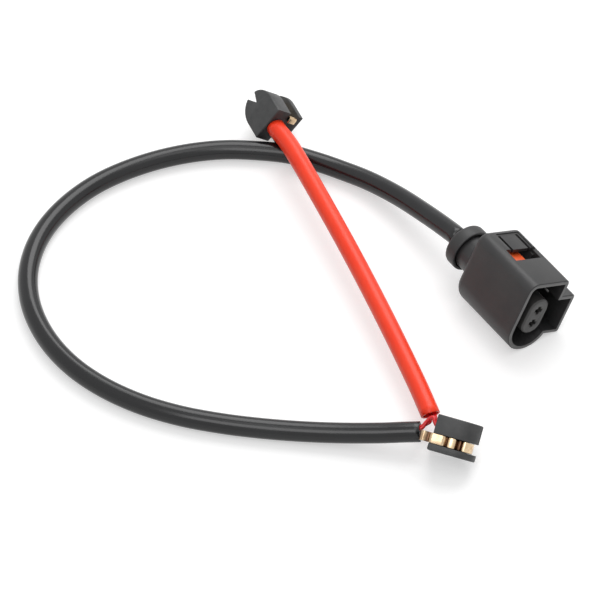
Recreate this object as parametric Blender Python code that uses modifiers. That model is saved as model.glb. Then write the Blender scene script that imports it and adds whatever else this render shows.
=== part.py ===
# Brake pad wear sensor: a two-way sealed plug, a black sheathed lead in one loop, and a red sleeve that
# joins two like sensor heads. Metres, +Z up, +X the way the plug is pushed home.
# The plug is modelled about its own axis, with y across the two ways and z towards the latch channel, and
# then rolled until it lies on its round end and on the channel's corner.

import math

import bmesh
import bpy
from mathutils import Euler, Matrix, Vector

MM = 0.001

# Clearances
GAP = 0.3 * MM  # between neighbouring pieces
FLOOR_GAP = 0.05 * MM  # under what lies on the floor
OVERRUN = 1.0 * MM  # how far a cutter runs past the face it opens
LAP = 0.5 * MM  # how deep two joined shapes share material
MERGE_DISTANCE = 0.001 * MM

# Plug: outer shape. The flat side carries the tongue, the other end is round.
BODY_LENGTH = 27.7 * MM
BODY_WIDTH = 16.6 * MM
BODY_Z_SHIFT = -0.5 * MM
FLAT_SIDE_Y = -13.7 * MM
ROUND_END_Y = 12.6 * MM
CHANNEL_SIDE_CORNER_R = 1.5 * MM
FAR_SIDE_CORNER_R = 3.4 * MM
SHROUD_WALL = 1.4 * MM
REAR_ROUND = 2.2 * MM
REAR_ROUND_STEPS = 4
FRONT_CHAMFER = 0.25 * MM
SHROUD_DEPTH = 16.0 * MM

# Plug: latch channel
CHANNEL_HALF_WIDTH = 7.4 * MM
CHANNEL_TOP_Z = 13.4 * MM
CHANNEL_LENGTH = 19.0 * MM
CHANNEL_DEPTH = 14.5 * MM
CHANNEL_WALL = 1.3 * MM
CHANNEL_CORNER_R = 1.0 * MM
LATCH_HOLE_X = -10.0 * MM
LATCH_HOLE_LENGTH = 2.0 * MM
LATCH_HOLE_Y = -2.4 * MM
LATCH_HOLE_WIDTH = 1.9 * MM

# Plug: tongue between two slits, and the window in front of it
TONGUE_WIDTH = 7.4 * MM
TONGUE_Z_MID = 1.0 * MM
TONGUE_ROOT_X = -24.6 * MM
TONGUE_TIP_X = -17.6 * MM
SLIT_WIDTH = 1.0 * MM
WINDOW_LENGTH = 5.4 * MM
WINDOW_EDGE_Z = -5.6 * MM
BAY_DEPTH = 3.4 * MM
BAY_FRONT_WALL = 2.4 * MM
BAY_REAR_X = -25.2 * MM
BAY_HALF_WIDTH = 5.6 * MM
PANEL_DEPTH = 0.3 * MM
PANEL_REAR_X = -25.4 * MM
PANEL_SIDE_Z = 6.0 * MM
RAIL_PROUD = 0.35 * MM
RAIL_DROP = 1.0 * MM
RAIL_HEIGHT = 2.4 * MM

# Plug: neck, boot and seals at the rear
NECK_R = 6.1 * MM
NECK_BORE_R = 4.4 * MM
NECK_LENGTH = 9.2 * MM
COLLAR_R = 7.4 * MM
COLLAR_START = 6.0 * MM
COLLAR_WIDTH = 4.6 * MM
COLLAR_LIP = 0.7 * MM
COLLAR_LIP_DEPTH = 1.2 * MM
BOOT_TAIL_R = 4.1 * MM
BOOT_TAIL_LENGTH = 2.8 * MM
BOOT_BORE_R = 2.4 * MM
BOOT_EDGE_R = 0.9 * MM
SEAL_PLUG_LENGTH = 5.2 * MM
SEAL_PLUG_SETBACK = 4.0 * MM
SEAL_RIB = 0.35 * MM

# Terminal carrier, its ring seal and the lock
PITCH = 5.0 * MM
CARRIER_LENGTH_Y = 13.2 * MM
CARRIER_WIDTH = 7.8 * MM
CARRIER_RECESS = 0.4 * MM
CARRIER_REAR_X = -25.6 * MM
CARRIER_EDGE = 0.5 * MM
MOUTH_SPAN = 3.0 * MM
MOUTH_SLOT = 1.3 * MM
MOUTH_DEPTH = 1.6 * MM
CHAMBER = 3.8 * MM
RING_SEAL_WALL = 1.5 * MM
RING_SEAL_LENGTH = 4.2 * MM
LOCK_WIDTH = 5.0 * MM
LOCK_Z_MID = -0.5 * MM
LOCK_DROP = 1.1 * MM
LOCK_THICKNESS = 1.5 * MM
LOCK_FRONT_X = -11.2 * MM
LOCK_REAR_X = -21.6 * MM
LOCK_LEG_LENGTH = 2.2 * MM
LOCK_BITE = 1.2 * MM

# Terminals and the wires behind them
TERMINAL_LENGTH = 12.5 * MM
BLADE_WIDTH = 2.8 * MM
BLADE_THICKNESS = 0.8 * MM
BLADE_DEPTH = 7.5 * MM
CRIMP_R = 1.15 * MM
CRIMP_LENGTH = 3.6 * MM
WIRE_R = 0.65 * MM
WIRE_STEP = 1.43 * MM
WIRE_SPREAD_IN_SEAL = 1.7 * MM
WIRE_SPREAD_IN_BOOT = 1.2 * MM

# Free tubes
SHEATH_R = 3.2 * MM
SLEEVE_R = 3.0 * MM
TUBE_STEP = 9.0 * MM
TUBE_STRAIGHT = 1.5 * MM  # square to the face that a tube starts from

# Sensor heads: x from the base towards the tip, y across, z from the block to the flange
HEAD_LENGTH = 14.0 * MM
HEAD_WIDTH = 12.6 * MM
HEAD_SIDE = 6.9 * MM
BLOCK_THICKNESS = 5.8 * MM
GROOVE_WIDTH = 3.4 * MM
FLANGE_THICKNESS = 2.0 * MM
HEAD_NECK_WIDTH = 7.0 * MM
HEAD_NECK_LENGTH = 11.0 * MM
HEAD_EDGE = 0.25 * MM
NOTCH_MOUTH = 4.0 * MM
NOTCH_DEPTH = 4.5 * MM
NOTCH_LEAN = 0.5 * MM
WIRE_HOLE_SPREAD = 1.5 * MM
SLEEVE_SEAT_Z = 3.6 * MM

# Clip in the groove
CLIP_THICKNESS = 0.35 * MM
CLIP_STEP = 0.45 * MM
CLIP_WAY_UP = {"near": 1, "far": -1}

# Where the two heads lie: the middle of the block's face at the base, and the turn in degrees. Their height
# follows from the flange's lowest corner.
FAR_HEAD_XY = (-117.1 * MM, -21.5 * MM)
FAR_HEAD_TURN = (130.3, -1.9, 169.6)
NEAR_HEAD_XY = (15.3 * MM, -47.8 * MM)
NEAR_HEAD_TURN = (128.0, 5.8, 39.9)

# Routes in millimetres, chosen by hand in the plug's own place, before the whole is centred
SHEATH_ROUTE = [
    (-45.6, 0.1, 11.2), (-56.3, -0.5, 9.2), (-70.3, -1.9, 6.6), (-82.9, -4.7, 4.6), (-93.2, -8.9, 3.5),
    (-101.0, -13.2, 3.27), (-109.2, -19.0, 3.25), (-117.4, -28.1, 3.25), (-123.2, -36.4, 3.25),
    (-127.9, -46.4, 3.25), (-131.1, -57.2, 3.25), (-132.7, -68.6, 3.25), (-132.5, -79.6, 3.25),
    (-130.0, -90.8, 3.25), (-125.4, -101.2, 3.25), (-118.6, -110.3, 3.25), (-109.4, -117.9, 3.25),
    (-97.9, -123.3, 3.25), (-84.8, -125.9, 3.25), (-71.6, -125.5, 3.25), (-58.9, -122.3, 3.25),
    (-46.6, -116.6, 3.25), (-35.6, -109.1, 3.25), (-25.9, -100.4, 3.25), (-17.3, -91.4, 3.3),
    (-9.2, -82.2, 3.6), (-1.3, -72.9, 4.4), (6.4, -63.7, 5.8), (11.0, -58.0, 6.9), (14.2, -54.1, 7.6),
]
SLEEVE_ROUTE = [
    (-107.9, -19.6, 9.75), (-97.7, -21.4, 9.6), (-77.6, -25.5, 9.2), (-58.0, -29.7, 8.7), (-38.7, -34.2, 8.2),
    (-19.9, -38.9, 7.7), (-1.5, -43.8, 7.2), (10.1, -47.3, 7.0),
]

# Wire routes in millimetres, in a head's own place. The first half of the loop runs from the hole in the
# base to the tip, and the other half mirrors it.
LOOP_HALF = [(1.5, -1.55, 3.8), (3.5, -1.9, 5.1), (6.0, -2.1, 6.8), (8.4, -1.9, 7.5), (10.2, -1.2, 7.5)]
LOOP_TIP = (11.15, 0.0, 7.5)
FEED_BEND = [(-1.0, 1.35, 3.85), (-2.5, -0.2, 6.0)]
FEED_START = (-3.64, -1.67, 7.3)
LINK_BEND = [(-2.0, -4.5, 1.9), (-1.1, -1.9, 3.35)]
LINK_END = (-2.12, -6.67, 0.3)
RETURN_ROUTE = [
    (-4.2, -1.67, 5.6), (-3.3, -2.2, 5.0), (-2.6, -3.6, 3.9), (-2.8, -5.3, 2.7), (-3.46, -6.67, 1.64),
]

# The clip's strip seen along z, in millimetres on the head's x and y: the curled foot, the wavy side that
# shows, the nose round the neck, the plain side along the neck, and the hook at the base
CLIP_FEET = {
    "near": [(-3.7, 5.0), (-3.2, 5.7), (-2.5, 5.9), (-1.8, 5.4), (-1.0, 5.3), (-0.4, 5.8)],
    "far": [(-1.0, 4.0), (-0.8, 5.0), (-0.3, 5.7)],
}
CLIP_WAVES = [
    (0.4, 5.95), (2.0, 5.95), (3.4, 5.9), (4.0, 5.4), (4.4, 5.0), (4.9, 5.3), (5.3, 5.85), (6.2, 5.95),
    (7.0, 5.7), (7.4, 4.9), (7.9, 4.15), (8.6, 3.95), (9.2, 4.3), (9.6, 5.0), (10.3, 5.15),
]
CLIP_NOSE = [(11.3, 4.4), (12.0, 3.5), (12.4, 2.3), (12.5, 1.0), (12.3, -0.6), (11.8, -2.2), (10.6, -3.5)]
CLIP_PLAIN = [(9.0, -4.2), (7.0, -4.3), (4.4, -4.3), (2.0, -4.3)]
CLIP_HOOK = [(0.7, -4.6), (-0.1, -5.2), (-0.7, -4.9), (-0.85, -4.0), (-0.85, -3.2)]


def new_object(name, mesh, collection, parent=None):
    obj = bpy.data.objects.new(name, mesh)
    collection.objects.link(obj)
    obj.parent = parent
    return obj


def mesh_from(bm, name):
    bmesh.ops.remove_doubles(bm, verts=bm.verts, dist=MERGE_DISTANCE)
    bmesh.ops.recalc_face_normals(bm, faces=bm.faces)
    mesh = bpy.data.meshes.new(name)
    bm.to_mesh(mesh)
    bm.free()
    return mesh


def loft(name, rings):
    """A closed solid through rings of equally many points, with its two ends capped."""
    bm = bmesh.new()
    loops = [[bm.verts.new(p) for p in ring] for ring in rings]
    for lower, upper in zip(loops, loops[1:]):
        for i in range(len(lower)):
            j = (i + 1) % len(lower)
            bm.faces.new((lower[i], lower[j], upper[j], upper[i]))
    bm.faces.new(loops[0])
    bm.faces.new(loops[-1])
    return mesh_from(bm, name)


def box(name, low, high):
    bm = bmesh.new()
    bmesh.ops.create_cube(bm, size=1.0)
    size = [h - l for l, h in zip(low, high)]
    middle = [(h + l) / 2 for l, h in zip(low, high)]
    bmesh.ops.transform(bm, verts=bm.verts, matrix=Matrix.Translation(middle) @ Matrix.Diagonal((*size, 1)))
    return mesh_from(bm, name)


def rod_x(name, radius, x0, x1, y=0.0, z=0.0, sides=32):
    """A round bar along x."""
    bm = bmesh.new()
    bmesh.ops.create_cone(bm, cap_ends=True, segments=sides, radius1=radius, radius2=radius, depth=x1 - x0)
    turn = Matrix.Translation(((x0 + x1) / 2, y, z)) @ Matrix.Rotation(math.pi / 2, 4, "Y")
    bmesh.ops.transform(bm, verts=bm.verts, matrix=turn)
    return mesh_from(bm, name)


def turned_x(name, profile, sides=32):
    """A closed ring turned about x from a profile of x and radius pairs."""
    bm = bmesh.new()
    verts = [bm.verts.new((x, 0, r)) for x, r in profile]
    edges = [bm.edges.new((verts[i], verts[(i + 1) % len(verts)])) for i in range(len(verts))]
    turn = {"cent": (0, 0, 0), "axis": (1, 0, 0), "angle": 2 * math.pi}
    bmesh.ops.spin(bm, geom=verts + edges, steps=sides, use_merge=True, **turn)
    return mesh_from(bm, name)


def arc(y, z, radius, start, end, steps):
    """Points of an arc from one angle to another, in degrees from +y towards +z."""
    angles = [math.radians(start + (end - start) * i / steps) for i in range(steps + 1)]
    return [(y + radius * math.cos(a), z + radius * math.sin(a)) for a in angles]


def body_outline(inset=0.0):
    """The plug's section: a flat side with small corners, and a round end."""
    half = BODY_WIDTH / 2 - inset
    flat = FLAT_SIDE_Y + inset
    crown = ROUND_END_Y - BODY_WIDTH / 2
    near_corner = max(CHANNEL_SIDE_CORNER_R - inset, GAP)
    far_corner = max(FAR_SIDE_CORNER_R - inset, GAP)
    z = BODY_Z_SHIFT
    return (
        arc(flat + near_corner, z + half - near_corner, near_corner, 180, 90, 4)
        + arc(crown, z, half, 90, -90, 20)
        + arc(flat + far_corner, z - half + far_corner, far_corner, -90, -180, 6)
    )


def channel_outline(inset=0.0):
    """The latch channel's section, from the middle of the plug out to its top."""
    half = CHANNEL_HALF_WIDTH - inset
    top = CHANNEL_TOP_Z - inset
    corner = max(CHANNEL_CORNER_R - inset, GAP)
    return (
        [(-half, 0.0)]
        + arc(-half + corner, top - corner, corner, 180, 90, 3)
        + arc(half - corner, top - corner, corner, 90, 0, 3)
        + [(half, 0.0)]
    )


def slot_outline(offset=0.0):
    """The terminal carrier's section: straight sides and two round ends."""
    radius = CARRIER_WIDTH / 2 + offset
    reach = (CARRIER_LENGTH_Y - CARRIER_WIDTH) / 2
    return arc(reach, 0, radius, 90, -90, 12) + arc(-reach, 0, radius, -90, -270, 12)


def sections(outline, stations):
    """Rings of one outline along x, each station giving x and the outline's inset or offset."""
    return [[(x, y, z) for y, z in outline(inset)] for x, inset in stations]


def boolean(target, mesh, operation, cutters, name):
    """Cuts or joins one mesh in the target's own place."""
    tool = new_object(name, mesh, cutters, target.parent)
    tool.hide_render = True
    tool.display_type = "WIRE"
    modifier = target.modifiers.new(name, "BOOLEAN")
    modifier.operation = operation
    modifier.solver = "EXACT"
    modifier.object = tool


def cut(target, mesh, cutters, name):
    boolean(target, mesh, "DIFFERENCE", cutters, name)


def join(target, mesh, cutters, name):
    boolean(target, mesh, "UNION", cutters, name)


def material(name, colour, roughness, metallic=0.0):
    made = bpy.data.materials.new(name)
    made.use_nodes = True
    shader = made.node_tree.nodes["Principled BSDF"]
    shader.inputs["Base Color"].default_value = (*colour, 1.0)
    shader.inputs["Roughness"].default_value = roughness
    shader.inputs["Metallic"].default_value = metallic
    made.diffuse_color = (*colour, 1.0)
    return made


def smooth_points(route, step):
    """Points about a step apart on a smooth curve through a route's points."""
    points = [Vector(p) for p in route]
    ends = [2 * points[0] - points[1], *points, 2 * points[-1] - points[-2]]
    fine = []
    for a, b, c, d in zip(ends, ends[1:], ends[2:], ends[3:]):
        for i in range(16):
            t = i / 16
            spread = (-a + 3 * b - 3 * c + d) * t**3 + (2 * a - 5 * b + 4 * c - d) * t**2 + (c - a) * t
            fine.append(b + spread / 2)
    fine.append(points[-1])
    along = [0.0]
    for p, q in zip(fine, fine[1:]):
        along.append(along[-1] + (q - p).length)
    count = max(2, round(along[-1] / step))
    spaced = []
    k = 0
    for i in range(count + 1):
        want = along[-1] * i / count
        while k < len(fine) - 2 and along[k + 1] < want:
            k += 1
        share = (want - along[k]) / max(along[k + 1] - along[k], 1e-12)
        spaced.append(fine[k].lerp(fine[k + 1], min(1.0, share)))
    return spaced


def tube_curve(name, points, radius, resolution, collection, parent=None):
    curve = bpy.data.curves.new(name, "CURVE")
    curve.dimensions = "3D"
    curve.bevel_depth = radius
    curve.bevel_resolution = resolution
    curve.use_fill_caps = True
    spline = curve.splines.new("POLY")
    spline.points.add(len(points) - 1)
    for point, place in zip(spline.points, points):
        point.co = (*place, 1)
    return new_object(name, curve, collection, parent)


def tube_mesh(name, points, radius, collection):
    """A round tube as a mesh, so that it can cut."""
    curve = tube_curve(name, points, radius, 2, collection)
    bpy.context.view_layer.update()
    graph = bpy.context.evaluated_depsgraph_get()
    mesh = bpy.data.meshes.new_from_object(curve.evaluated_get(graph))
    bpy.data.objects.remove(curve)
    bm = bmesh.new()
    bm.from_mesh(mesh)
    bmesh.ops.remove_doubles(bm, verts=bm.verts, dist=MERGE_DISTANCE)
    bmesh.ops.recalc_face_normals(bm, faces=bm.faces)
    bm.to_mesh(mesh)
    bm.free()
    return mesh


def in_mm(points):
    return [Vector(p) * MM for p in points]


def channel_corner():
    """The centre and radius of the channel corner that the plug lies on."""
    return (CHANNEL_HALF_WIDTH - CHANNEL_CORNER_R, CHANNEL_TOP_Z - CHANNEL_CORNER_R), CHANNEL_CORNER_R


def plug_rest():
    """The roll at which the round end and the channel's corner both touch the floor, and the axis height."""
    crown = (ROUND_END_Y - BODY_WIDTH / 2, BODY_Z_SHIFT)
    (corner_y, corner_z), corner_r = channel_corner()
    dy = corner_y - crown[0]
    dz = corner_z - crown[1]
    down = math.atan2(dz, dy) - math.acos((BODY_WIDTH / 2 - corner_r) / math.hypot(dy, dz))
    reach = crown[0] * math.cos(down) + crown[1] * math.sin(down) + BODY_WIDTH / 2
    return -math.pi / 2 - down, reach + FLOOR_GAP


def chamber_middles():
    return {"upper": -PITCH / 2, "lower": PITCH / 2}


def neck_end_x():
    return -BODY_LENGTH - NECK_LENGTH


def boot_end_x():
    return neck_end_x() - GAP - BOOT_TAIL_LENGTH


def make_housing(parts, cutters, frame):
    rear_round = arc(-BODY_LENGTH + REAR_ROUND, REAR_ROUND, REAR_ROUND, 180, 270, REAR_ROUND_STEPS)
    body = sections(body_outline, [*rear_round, (-FRONT_CHAMFER, 0), (0, FRONT_CHAMFER)])
    housing = new_object("connector_housing", loft("connector_housing", body), parts, frame)
    rear_corner = -CHANNEL_LENGTH + CHANNEL_CORNER_R
    channel = sections(
        channel_outline,
        [(-CHANNEL_LENGTH, CHANNEL_CORNER_R), (rear_corner, 0), (-FRONT_CHAMFER, 0), (0, FRONT_CHAMFER)],
    )
    join(housing, loft("latch_channel", channel), cutters, "latch_channel")
    join(housing, rod_x("neck", NECK_R, neck_end_x(), -BODY_LENGTH + LAP), cutters, "neck")

    # A side rail closes the open end of the window below the flat side.
    window_front = TONGUE_TIP_X + WINDOW_LENGTH
    side_z = BODY_Z_SHIFT + BODY_WIDTH / 2
    rail_top = FLAT_SIDE_Y + RAIL_DROP
    rail = box(
        "side_rail",
        (TONGUE_TIP_X - LAP, rail_top, side_z - SHROUD_WALL),
        (window_front + LAP, rail_top + RAIL_HEIGHT, side_z + RAIL_PROUD),
    )

    inner_flat = FLAT_SIDE_Y + SHROUD_WALL
    shroud = sections(body_outline, [(-SHROUD_DEPTH, SHROUD_WALL), (OVERRUN, SHROUD_WALL)])
    cut(housing, loft("shroud_space", shroud), cutters, "shroud_space")
    inside = sections(channel_outline, [(-CHANNEL_DEPTH, CHANNEL_WALL), (OVERRUN, CHANNEL_WALL)])
    cut(housing, loft("channel_space", inside), cutters, "channel_space")
    bay = box(
        "tongue_bay",
        (BAY_REAR_X, inner_flat, -BAY_HALF_WIDTH),
        (window_front + BAY_FRONT_WALL, inner_flat + BAY_DEPTH, BAY_HALF_WIDTH),
    )
    cut(housing, bay, cutters, "tongue_bay")
    window = box(
        "window",
        (TONGUE_TIP_X, FLAT_SIDE_Y - OVERRUN, WINDOW_EDGE_Z),
        (window_front, inner_flat + LAP, side_z + OVERRUN),
    )
    cut(housing, window, cutters, "window")
    join(housing, rail, cutters, "side_rail")
    for side, z in (("left", TONGUE_Z_MID - TONGUE_WIDTH / 2), ("right", TONGUE_Z_MID + TONGUE_WIDTH / 2)):
        slit = box(
            f"slit_{side}",
            (TONGUE_ROOT_X, FLAT_SIDE_Y - OVERRUN, z - SLIT_WIDTH / 2),
            (TONGUE_TIP_X + LAP, inner_flat + LAP, z + SLIT_WIDTH / 2),
        )
        cut(housing, slit, cutters, f"slit_{side}")
    panel = box(
        "panel",
        (PANEL_REAR_X, FLAT_SIDE_Y - OVERRUN, WINDOW_EDGE_Z + 2 * SLIT_WIDTH),
        (TONGUE_TIP_X + LAP, FLAT_SIDE_Y + PANEL_DEPTH, PANEL_SIDE_Z),
    )
    cut(housing, panel, cutters, "panel")
    half_x = LATCH_HOLE_LENGTH / 2
    half_y = LATCH_HOLE_WIDTH / 2
    latch_hole = box(
        "latch_hole",
        (LATCH_HOLE_X - half_x, LATCH_HOLE_Y - half_y, CHANNEL_TOP_Z - CHANNEL_WALL - LAP),
        (LATCH_HOLE_X + half_x, LATCH_HOLE_Y + half_y, CHANNEL_TOP_Z + OVERRUN),
    )
    cut(housing, latch_hole, cutters, "latch_hole")
    seat = sections(slot_outline, [(CARRIER_REAR_X - GAP, GAP), (-SHROUD_DEPTH + LAP, GAP)])
    cut(housing, loft("carrier_seat", seat), cutters, "carrier_seat")
    wire_bore = rod_x("wire_bore", NECK_BORE_R, neck_end_x() - OVERRUN, CARRIER_REAR_X)
    cut(housing, wire_bore, cutters, "wire_bore")
    leg_gap = box("lock_passage", *lock_leg_box(GAP, -CARRIER_WIDTH / 2))
    cut(housing, leg_gap, cutters, "lock_passage")
    return housing


def lock_leg_box(clearance, depth_y):
    """The lock's leg, grown by a clearance, from the bay down to a depth."""
    top = FLAT_SIDE_Y + SHROUD_WALL + LOCK_DROP
    return (
        (LOCK_REAR_X - clearance, top - clearance, LOCK_Z_MID - LOCK_WIDTH / 2 - clearance),
        (LOCK_REAR_X + LOCK_LEG_LENGTH + clearance, depth_y, LOCK_Z_MID + LOCK_WIDTH / 2 + clearance),
    )


def make_lock(parts, cutters, frame):
    top = FLAT_SIDE_Y + SHROUD_WALL + LOCK_DROP
    plate = box(
        "secondary_lock",
        (LOCK_REAR_X, top, LOCK_Z_MID - LOCK_WIDTH / 2),
        (LOCK_FRONT_X, top + LOCK_THICKNESS, LOCK_Z_MID + LOCK_WIDTH / 2),
    )
    lock = new_object("secondary_lock", plate, parts, frame)
    bite_end = -CARRIER_LENGTH_Y / 2 + LOCK_BITE - GAP
    join(lock, box("lock_leg", *lock_leg_box(0, bite_end)), cutters, "lock_leg")
    return lock


def make_carrier(parts, cutters, frame):
    front = -CARRIER_RECESS
    rings = sections(slot_outline, [(CARRIER_REAR_X, 0), (front - CARRIER_EDGE, 0), (front, -CARRIER_EDGE)])
    carrier = new_object("terminal_carrier", loft("terminal_carrier", rings), parts, frame)
    chamber_front = front - MOUTH_DEPTH
    for place, y in chamber_middles().items():
        chamber = box(
            f"chamber_{place}",
            (CARRIER_REAR_X - OVERRUN, y - CHAMBER / 2, -CHAMBER / 2),
            (chamber_front, y + CHAMBER / 2, CHAMBER / 2),
        )
        cut(carrier, chamber, cutters, f"chamber_{place}")
        for way, (half_y, half_z) in {
            "across": (MOUTH_SPAN / 2, MOUTH_SLOT / 2),
            "along": (MOUTH_SLOT / 2, MOUTH_SPAN / 2),
        }.items():
            mouth = box(
                f"mouth_{place}_{way}",
                (chamber_front - LAP, y - half_y, -half_z),
                (front + OVERRUN, y + half_y, half_z),
            )
            cut(carrier, mouth, cutters, f"mouth_{place}_{way}")
    pocket = box("lock_pocket", *lock_leg_box(GAP, -CARRIER_LENGTH_Y / 2 + LOCK_BITE))
    cut(carrier, pocket, cutters, "lock_pocket")
    return carrier


def make_ring_seal(parts, cutters, frame):
    rear = -SHROUD_DEPTH + GAP
    front = rear + RING_SEAL_LENGTH
    outer = GAP + RING_SEAL_WALL
    ribs = 2
    stations = [(rear, outer - SEAL_RIB)]
    for i in range(ribs):
        crest = rear + RING_SEAL_LENGTH * (i + 0.5) / ribs
        valley = rear + RING_SEAL_LENGTH * (i + 1) / ribs
        stations += [(crest, outer), (valley, outer - SEAL_RIB)]
    ribbed = loft("interface_seal", sections(slot_outline, stations))
    seal = new_object("interface_seal", ribbed, parts, frame)
    hole = sections(slot_outline, [(rear - OVERRUN, GAP), (front + OVERRUN, GAP)])
    cut(seal, loft("seal_hole", hole), cutters, "seal_hole")
    return seal


def terminal_front_x():
    return -CARRIER_RECESS - MOUTH_DEPTH - GAP


def make_terminals(parts, cutters, frame):
    half = CHAMBER / 2 - GAP
    front = terminal_front_x()
    rear = front - TERMINAL_LENGTH
    made = []
    for place, y in chamber_middles().items():
        shell = box(f"terminal_{place}", (rear, y - half, -half), (front, y + half, half))
        terminal = new_object(f"terminal_{place}", shell, parts, frame)
        barrel = rod_x(f"crimp_{place}", CRIMP_R, rear - CRIMP_LENGTH, rear + LAP, y=y, sides=16)
        join(terminal, barrel, cutters, f"crimp_{place}")
        blade = box(
            f"blade_slot_{place}",
            (front - BLADE_DEPTH, y - BLADE_WIDTH / 2, -BLADE_THICKNESS / 2),
            (front + OVERRUN, y + BLADE_WIDTH / 2, BLADE_THICKNESS / 2),
        )
        cut(terminal, blade, cutters, f"blade_slot_{place}")
        made.append(terminal)
    return made


def seal_plug_span():
    """Where the ribbed plug starts and ends in the neck's bore."""
    rear = neck_end_x() + SEAL_PLUG_SETBACK - SEAL_PLUG_LENGTH / 2
    return rear, rear + SEAL_PLUG_LENGTH


def make_lead_wires(parts, frame):
    rear, front = seal_plug_span()
    start = terminal_front_x() - TERMINAL_LENGTH - CRIMP_LENGTH - GAP
    end = boot_end_x() + GAP
    made = []
    for place, y in chamber_middles().items():
        side = math.copysign(1, y)
        route = [
            (start, y, 0),
            (CARRIER_REAR_X, y, 0),
            (front + 2 * WIRE_R, side * WIRE_SPREAD_IN_SEAL, 0),
            (front, side * WIRE_SPREAD_IN_SEAL, 0),
            (rear, side * WIRE_SPREAD_IN_SEAL, 0),
            (rear - 2 * WIRE_R, side * WIRE_SPREAD_IN_BOOT, 0),
            (end, side * WIRE_SPREAD_IN_BOOT, 0),
        ]
        way = smooth_points(route, 4 * WIRE_R)
        made.append(tube_curve(f"lead_wire_{place}", way, WIRE_R, 2, parts, frame))
    return made


def make_wire_seal(parts, cutters, frame):
    rear, front = seal_plug_span()
    radius = NECK_BORE_R - GAP
    ribs = 3
    profile = [(front, 0), (front, radius - SEAL_RIB)]
    for i in range(ribs):
        crest = front - SEAL_PLUG_LENGTH * (i + 0.5) / ribs
        valley = front - SEAL_PLUG_LENGTH * (i + 1) / ribs
        profile += [(crest, radius), (valley, radius - SEAL_RIB)]
    profile.append((rear, 0))
    seal = new_object("wire_seal", turned_x("wire_seal", profile, 24), parts, frame)
    for place, y in chamber_middles().items():
        middle = math.copysign(WIRE_SPREAD_IN_SEAL, y)
        hole = rod_x(f"wire_hole_{place}", WIRE_R + GAP, rear - OVERRUN, front + OVERRUN, y=middle, sides=16)
        cut(seal, hole, cutters, f"wire_hole_{place}")
    return seal


def make_boot(parts, frame):
    """The rubber cap: a thick collar over the neck's end, whose back runs in to the sheath."""
    front = -BODY_LENGTH - COLLAR_START
    collar_rear = front - COLLAR_WIDTH
    neck_end = neck_end_x()
    rear = boot_end_x()
    fit = NECK_R + GAP
    profile = [
        (front - COLLAR_LIP_DEPTH, fit),
        (front, COLLAR_R - COLLAR_LIP),
        (front, COLLAR_R - COLLAR_LIP / 2),
        (front - COLLAR_LIP / 2, COLLAR_R),
        *arc(collar_rear + BOOT_EDGE_R, COLLAR_R - BOOT_EDGE_R, BOOT_EDGE_R, 90, 180, 3),
        (rear, BOOT_TAIL_R),
        (rear, BOOT_BORE_R),
        (neck_end - GAP, BOOT_BORE_R),
        (neck_end - GAP, fit),
    ]
    return new_object("cable_boot", turned_x("cable_boot", profile, 36), parts, frame)


def head_outline(half_width, side, length, inset=0.0, steps=9):
    """Straight sides from the base, and an arched tip."""
    reach = length - side - inset
    half = half_width - inset
    turns = [math.pi * i / (2 * steps) for i in range(steps)]
    tip = [(side + reach * math.sin(a), half * math.cos(a)) for a in turns]
    upper = [(inset, half), *tip]
    return [(x, y) for x, y in upper] + [(side + reach, 0.0)] + [(x, -y) for x, y in reversed(upper)]


def head_layer(name, half_width, side, length, stations):
    rings = []
    for z, inset in stations:
        rings.append([(x, y, z) for x, y in head_outline(half_width, side, length, inset)])
    return loft(name, rings)


def head_rest(turn, xy):
    """The place of a head whose lowest flange corner lies on the floor."""
    rotation = Euler([math.radians(a) for a in turn], "XYZ").to_matrix()
    far_z = BLOCK_THICKNESS + GROOVE_WIDTH + FLANGE_THICKNESS
    outline = head_outline(HEAD_WIDTH / 2, HEAD_SIDE, HEAD_LENGTH)
    lowest = min((rotation @ Vector((x, y, z))).z for x, y in outline for z in (0, far_z))
    return Matrix.Translation((*xy, FLOOR_GAP - lowest)) @ rotation.to_4x4()


def loop_points():
    """The wire's way through a head, from one hole in the base round the tip to the other."""
    hole = Vector((GAP, -WIRE_HOLE_SPREAD, SLEEVE_SEAT_Z))
    half = [hole, *in_mm(LOOP_HALF)]
    other = [Vector((p.x, -p.y, p.z)) for p in reversed(half)]
    return [*half, Vector(LOOP_TIP) * MM, *other]


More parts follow.
